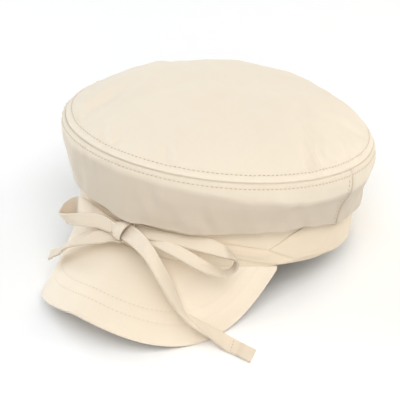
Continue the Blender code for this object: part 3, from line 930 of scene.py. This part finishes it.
def peak_points(share, reach):
    """The middle sheet of the peak: share runs from -1 to 1 across, reach from 0 to 1."""
    angle = share * PEAK_HALF_ANGLE
    slope = np.radians(PEAK_SLOPE + PEAK_SLOPE_GAIN * np.abs(share) ** PEAK_SLOPE_POWER)
    fan = np.radians(angle * PEAK_FAN)
    full = 1.0 - np.minimum(1.0, np.abs(share)) ** PEAK_SQUARENESS
    full = PEAK_REACH * full * (1.0 + PEAK_REACH_GAIN * share**2)
    out = np.stack([np.sin(fan), -np.cos(fan), np.zeros_like(fan)], -1)
    up = np.array([0.0, 0.0, 1.0])
    down = out * np.cos(slope)[..., None] - up * np.sin(slope)[..., None]
    upward = out * np.sin(slope)[..., None] + up * np.cos(slope)[..., None]
    inset = BAND_INSET - 0.9
    half_width, half_depth = HEAD_HALF_WIDTH - inset, HEAD_HALF_DEPTH - inset
    edge = oval(angle, half_width, half_depth, 0.0, band_bottom(angle) - 0.35)
    seat = PEAK_SEAT / 2.0
    start = edge - upward * seat
    start[..., 2] = np.minimum(start[..., 2], edge[..., 2] - seat * np.abs(np.cos(slope)))
    return start + down * (full * reach)[..., None], upward, full


def edge_distance(points):
    """How far each point of a grid lies from the grid's last row."""
    rim = points[-1]
    flat = points.reshape(-1, 3)
    far = np.empty(len(flat))
    for low in range(0, len(flat), 2000):
        part = flat[low : low + 2000]
        far[low : low + 2000] = np.sqrt(((part[:, None] - rim[None]) ** 2).sum(-1)).min(1)
    return far.reshape(points.shape[:2])


def peak(material):
    share = 0.985 * np.sin(math.pi / 2.0 * np.linspace(-1.0, 1.0, 181))
    reach = 1.0 - (1.0 - np.linspace(0.0, 1.0, 64)) ** 1.15
    wide, long = np.meshgrid(share, reach)
    points, out, full = peak_points(wide, long)
    from_edge = edge_distance(points)
    lift = 0.12 * rumple(points, 24.0, seed=51)
    for row in PEAK_ROWS_OF_STITCHES:
        lift -= 0.22 * bump(from_edge - row, 0.7)
    lift -= 0.25 * bump(from_edge - 1.4, 0.5)
    points = points + out * lift[..., None]
    uv = np.stack([wide * PEAK_RADIUS, -long * full], -1)
    # Painted shade along the rows of stitching
    shade = sum(0.03 * bump(from_edge - row, 0.8) for row in PEAK_ROWS_OF_STITCHES)
    piece = add_piece("peak_cloth", grid_mesh("peak_cloth", points, uv, shade), material)
    stand_for(thicken(piece, PEAK_BOARD, rounded=0.9), "peak")
    return points, out, from_edge


# ---------------------------------------------------------------- bow

def tie(name, node, held, cuts, folds, shades, material):
    """A flat tie, folded double and stitched along one edge. A fold crosses it slantwise, from
    a cut on one edge to a cut on the other, and raises or lowers the cloth past it. Painted
    shade darkens the cloth from one cut to another, along its second edge and on each fold."""
    cuts = np.array(cuts)
    place = np.linspace(0.0, len(cuts) - 1.0, (len(cuts) - 1) * TIE_STEPS_PER_CUT + 1)
    ends = spline(cuts, place)
    share = np.linspace(0.0, 1.0, TIE_STEPS_ACROSS + 1)[:, None]
    points = ends[None, :, 0] * (1.0 - share)[..., None] + ends[None, :, 1] * share[..., None]
    out = normals(points, wrap=False)
    width = np.linalg.norm(ends[:, 1] - ends[:, 0], axis=-1)
    edge = np.minimum(share, 1.0 - share) * width[None]
    lift = 0.24 * rumple(points, 12.0, seed=61) - 0.24 * bump(edge - 1.7, 0.5)
    # Painted shade along the second edge, over the stretches that shades name, and on each fold
    shade = EDGE_SHADE * bump((1.0 - share) * width[None], 0.7)
    for first, last, depth in shades:
        shade = shade + depth * step(-0.4, 0.4, place - first) * step(-0.4, 0.4, last - place)
    for first, last, depth, spread in folds:
        past = place[None] - first - share * (last - first)
        lift += depth * step(-spread, spread, past)
        shade += 0.22 * abs(depth) * bump(past, 0.14)
    points = points + out * lift[..., None]
    middle = (points[0] + points[-1]) / 2.0
    run = travelled(middle[:, None])[:, 0]
    uv = np.stack(np.broadcast_arrays(share * TIE_WIDTH, run[None]), -1)
    piece = add_piece(name, grid_mesh(name, points, uv, shade), material)
    thicken(piece, TIE_CLOTH, rounded=0.35)
    stand_for(piece, node)
    return points


def knot(material):
    """The turn of tie round the bow. It is a flattened ring of cloth, open at the end that the
    long tail leaves by and gathered in over the loops at the other."""
    around = np.arange(96) * 2.0 * math.pi / 96
    turn, part = np.meshgrid(around, np.linspace(0.0, 1.0, 61))
    ring, side = (
        np.sign(way) * np.abs(way) ** KNOT_SQUARENESS for way in (np.cos(turn), np.sin(turn))
    )
    gathered = 1.0 - step(0.0, 0.62, part)
    along = KNOT_REACH[0] + (KNOT_REACH[1] - KNOT_REACH[0]) * part
    wide = ring * KNOT_SIZE[0] / 2.0 * (1.0 - 0.78 * gathered)
    high = side * KNOT_SIZE[1] / 2.0 * (1.0 - 0.42 * gathered)
    points = np.stack([along, wide, high], -1)
    radial = np.stack([np.zeros_like(turn), np.cos(turn), np.sin(turn)], -1)
    folds = 0.24 * np.cos(7.0 * turn + 3.0 * part) * gathered
    folds += 0.16 * np.cos(part * 17.0 + 1.4 * np.cos(turn)) * (1.0 - gathered)
    folds += 0.35 * step(0.86, 0.96, part)
    points = points + radial * folds[..., None]
    spin = Matrix.Rotation(math.radians(KNOT_TURN[1]), 3, "Z") @ Matrix.Rotation(
        math.radians(KNOT_TURN[0]), 3, "Y"
    )
    points = points @ np.array(spin).T + np.array(KNOT_CENTRE)
    points[..., 2] += KNOT_RISE[0] + (KNOT_RISE[1] - KNOT_RISE[0]) * part
    uv = np.stack([part * 11.0, turn * 5.5], -1)
    # Painted shade round the open end
    mesh = grid_mesh("knot_cloth", points, uv, 0.4 * step(0.97, 1.0, part), wrap=True)
    piece = add_piece("knot_cloth", mesh, material)
    thicken(piece, KNOT_CLOTH, offset=-1.0, rounded=0.3)
    stand_for(piece, "bow_knot")


# ---------------------------------------------------------------- stitching

def stitches(name, path, out, material, width=STITCH_WIDTH):
    """A row of separate stitches along a path of points on the cloth."""
    run = travelled(path[:, None])[:, 0]
    girth = np.sqrt(np.clip(1.0 - np.linspace(-1.0, 1.0, STITCH_RINGS) ** 2, 0.04, 1.0))
    verts, faces = [], []
    for start in np.arange(STITCH_PITCH / 2.0, run[-1], STITCH_PITCH):
        ends = start - STITCH_LENGTH / 2.0, start + STITCH_LENGTH / 2.0
        reach = np.linspace(*ends, STITCH_RINGS)
        line = np.stack([np.interp(reach, run, path[:, k]) for k in range(3)], -1)
        lift = np.stack([np.interp(reach, run, out[:, k]) for k in range(3)], -1)
        lift /= np.linalg.norm(lift, axis=-1, keepdims=True)
        heading = line[-1] - line[0]
        heading /= np.linalg.norm(heading)
        side = np.cross(heading, lift)
        line = line + lift * (STITCH_RISE * girth - STITCH_SUNK)[:, None]
        base = len(verts)
        for ring in range(STITCH_RINGS):
            for spoke in range(STITCH_SIDES):
                turn = 2.0 * math.pi * spoke / STITCH_SIDES
                spread = side[ring] * math.cos(turn) * width / 2.0
                spread = spread + lift[ring] * math.sin(turn) * width * 0.36
                verts.append(line[ring] + spread * girth[ring])
        for low in range(base, len(verts) - STITCH_SIDES, STITCH_SIDES):
            high = low + STITCH_SIDES
            for spoke in range(STITCH_SIDES):
                after = (spoke + 1) % STITCH_SIDES
                faces.append((low + spoke, low + after, high + after, high + spoke))
        faces.append(tuple(base + spoke for spoke in reversed(range(STITCH_SIDES))))
        faces.append(tuple(range(len(verts) - STITCH_SIDES, len(verts))))
    mesh = bpy.data.meshes.new(name)
    mesh.from_pydata(to_world(np.array(verts)).tolist(), [], faces)
    mesh.update()
    add_piece(name, mesh, material)


def row_at(points, distance, value, out):
    """The line across a grid's columns at one distance, with the cloth's normals there."""
    columns = points.shape[1]
    line, facing = np.empty((columns, 3)), np.empty((columns, 3))
    for column in range(columns):
        for axis in range(3):
            line[column, axis] = np.interp(value, distance[:, column], points[:, column, axis])
            facing[column, axis] = np.interp(value, distance[:, column], out[:, column, axis])
    return line, facing


def contour(points, values, level, out):
    """The line across a grid's columns where falling values pass a level."""
    line, facing = [], []
    for column in range(points.shape[1]):
        fall = values[:, column]
        if fall[0] <= level:
            continue
        after = int(np.argmax(fall <= level))
        share = (fall[after - 1] - level) / (fall[after - 1] - fall[after])
        for rows, kept in ((points, line), (out, facing)):
            kept.append(rows[after - 1, column] * (1.0 - share) + rows[after, column] * share)
    return np.array(line), np.array(facing)


def stitch_tail_hem(tail, material):
    place = int(TAIL_HEM * TIE_STEPS_PER_CUT)
    across, facing = tail[1:-1, place], normals(tail, wrap=False)[1:-1, place]
    for name, way in (("tail_hem_stitches_back", -1.0), ("tail_hem_stitches_front", 1.0)):
        line = across + way * facing * TIE_CLOTH / 2.0
        stitches(name, line, way * facing, material, HEM_STITCH_WIDTH)


def stitch_peak(points, out, from_edge, material):
    for place, row in enumerate(PEAK_ROWS_OF_STITCHES):
        line, facing = contour(points, from_edge, row, out)
        line = line + facing * PEAK_BOARD / 2.0
        name = f"peak_stitches_{place + 1}"
        stitches(name, line, facing, material, FINE_STITCH_WIDTH)


def stitch_top(points, distance, material):
    line, facing = row_at(points, distance, STITCH_ABOVE, normals(points, wrap=True))
    line, facing = np.vstack([line, line[:1]]), np.vstack([facing, facing[:1]])
    stitches("top_stitches", line, facing, material)


def stitch_side(name, points, distance, material):
    line, facing = row_at(points, distance, STITCH_BELOW, normals(points, wrap=False))
    stitches(name, line, facing, material)


def stitch_side_seams(points, turn, material):
    """The upright rows on the front panel, beside the seam at each end of it."""
    upright, out = (grid.transpose(1, 0, 2) for grid in (points, normals(points, wrap=False)))
    inset = math.degrees(SIDE_TOPSTITCH / SIDE_RADIUS)
    for place, angle in (("left", SIDE_SEAM_ANGLE - inset), ("right", inset - SIDE_SEAM_ANGLE)):
        line, facing = row_at(upright, turn.T, angle, out)
        shown = (line[:, 2] > FOLD_HEIGHT + 1.0) & (line[:, 2] < SIDE_TOPSTITCH_TOP)
        shown &= np.arange(len(line)) < SIDE_TOPSTITCH_ROWS
        name = f"side_seam_stitches_{place}"
        stitches(name, line[shown], facing[shown], material)


# ---------------------------------------------------------------- stage

def from_camera_side(azimuth, elevation):
    """A direction from the cap, its azimuth measured from the camera towards its right."""
    turn, rise = math.radians(VIEW_AZIMUTH + azimuth), math.radians(elevation)
    flat = Vector((math.sin(turn), -math.cos(turn), 0.0)) * math.cos(rise)
    return flat + Vector((0.0, 0.0, math.sin(rise)))


def floor_and_light():
    size = FLOOR_HALF_SIZE
    corners = [(-size, -size, 0), (size, -size, 0), (size, size, 0), (-size, size, 0)]
    mesh = bpy.data.meshes.new("floor")
    mesh.from_pydata(corners, [], [(0, 1, 2, 3)])
    paper = Shader("white_paper")
    paper.give("Base Color", FLOOR_WHITE)
    paper.give("Roughness", 0.85)
    mesh.materials.append(paper.material)
    add_object("floor", mesh)

    world = bpy.data.worlds.new("studio")
    bpy.context.scene.world = world
    world.use_nodes = True
    world.node_tree.nodes["Background"].inputs["Strength"].default_value = 0.0
    for name, azimuth, elevation, power, colour in SOFTBOXES:
        light = bpy.data.lights.new(name, "AREA")
        light.size = SOFTBOX_SIZE
        light.energy = power
        light.color = colour
        lamp = add_object(name, light)
        lamp.location = from_camera_side(azimuth, elevation) * SOFTBOX_DISTANCE
        aim = LIT_POINT - lamp.location
        lamp.rotation_euler = aim.to_track_quat("-Z", "Y").to_euler()


def camera():
    azimuth = math.radians(VIEW_AZIMUTH)
    back = from_camera_side(0.0, VIEW_ELEVATION)
    right = Vector((math.cos(azimuth), math.sin(azimuth), 0.0))
    up = back.cross(right)
    aim = (back - right * VIEW_SIDE - up * VIEW_LIFT).normalized()
    side = (right - aim * right.dot(aim)).normalized()
    seat = Matrix((side, aim.cross(side), aim)).transposed().to_4x4()
    seat.translation = back * VIEW_DISTANCE * MM
    settle = Matrix.Rotation(math.radians(VIEW_PITCH - REST_PITCH), 4, "X")
    data = bpy.data.cameras.new("camera")
    data.sensor_width = 36.0
    data.lens = VIEW_LENS
    data.clip_start = 0.01
    eye = add_object("camera", data)
    eye.matrix_world = Matrix.Translation(Vector(CAP_ORIGIN) * MM) @ settle @ seat
    bpy.context.scene.camera = eye
    bpy.context.scene.view_settings.view_transform = "Standard"


# ---------------------------------------------------------------- the cap

def main():
    floor_and_light()
    camera()

    # Lit and shaded copies of one cream cotton, one for each part
    cottons = {
        name: cotton(name, tuple(part * share for part, share in zip(CREAM, tone)))
        for name, tone in COTTON_LIGHT_AND_SHADE_TONES
    }
    pale_thread = thread("pale_thread", PALE_THREAD)
    sewing_thread = thread("sewing_thread", THREAD)

    top = crown_top(cottons["top_cotton"])
    seam, beyond = SIDE_SEAM_ANGLE, 360.0 - SIDE_SEAM_ANGLE
    side_cotton = cottons["side_cotton"]
    front, front_distance, front_turn = crown_side(
        "crown_side_front_cloth", "crown_side_front", -seam, seam, side_cotton
    )
    back, back_distance, _ = crown_side(
        "crown_side_back_cloth", "crown_side_back", seam, beyond, side_cotton
    )
    band(cottons["band_cotton"])
    sash(cottons["sash_cotton"])
    board = peak(cottons["peak_cotton"])
    knot(cottons["tie_cotton"])
    for node, *shape in SOFT_TIES:
        cloth = tie(f"{node}_tie", node, *shape, cottons["tie_cotton"])
        if node == "bow_tail_left":
            stitch_tail_hem(cloth, sewing_thread)

    stitch_peak(*board, pale_thread)
    stitch_top(*top, sewing_thread)
    stitch_side("side_stitches_front", front, front_distance, sewing_thread)
    stitch_side_seams(front, front_turn, sewing_thread)
    stitch_side("side_stitches_back", back, back_distance, sewing_thread)


main()
